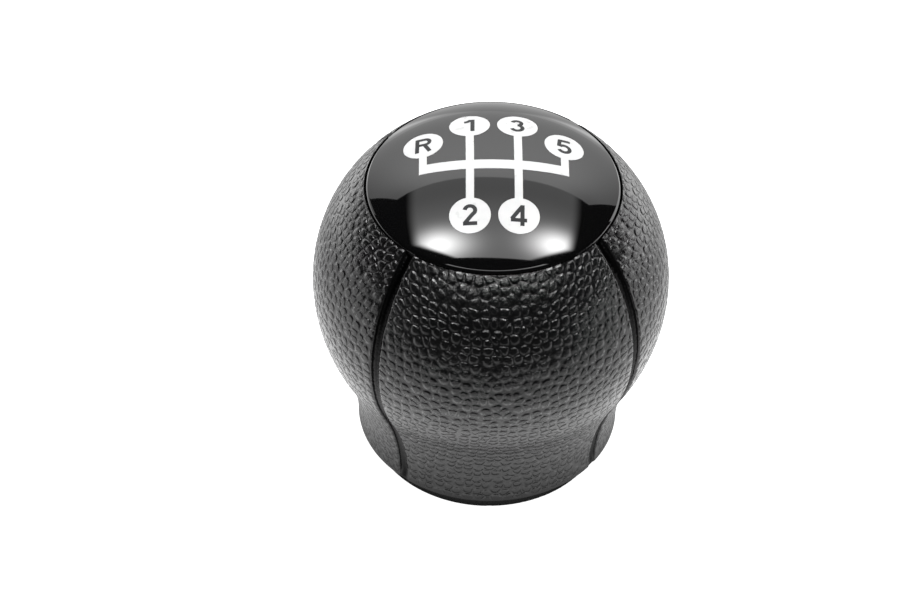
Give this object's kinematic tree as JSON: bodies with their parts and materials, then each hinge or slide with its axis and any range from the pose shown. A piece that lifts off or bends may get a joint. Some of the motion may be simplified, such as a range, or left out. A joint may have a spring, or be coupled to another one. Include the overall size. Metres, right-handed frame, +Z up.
{
  "type": "gear shift knob",
  "caption": "Round soft-grip gear shift knob with grooved seams, a gloss domed cap that carries the shift pattern, and a threaded socket for the lever underneath.",
  "frame": {"origin": "on the knob's axis, in the plane that the foot ring stands on", "axes": "+Z up through the cap, +Y the car's forward direction, +X the car's right-hand side"},
  "size_m": [0.052, 0.052, 0.0534],
  "materials": {
    "grip_skin": "soft black skin with a pebble grain",
    "core_plastic": "black moulded plastic",
    "cap_gloss": "polished black with a white printed pattern",
    "insert_steel": "plated steel, turned and tapped"
  },
  "bodies": {
    "root": {"grip": "grip_skin", "core": "core_plastic", "cap": "cap_gloss", "lever_insert": "insert_steel"}
  },
  "joints": []
}
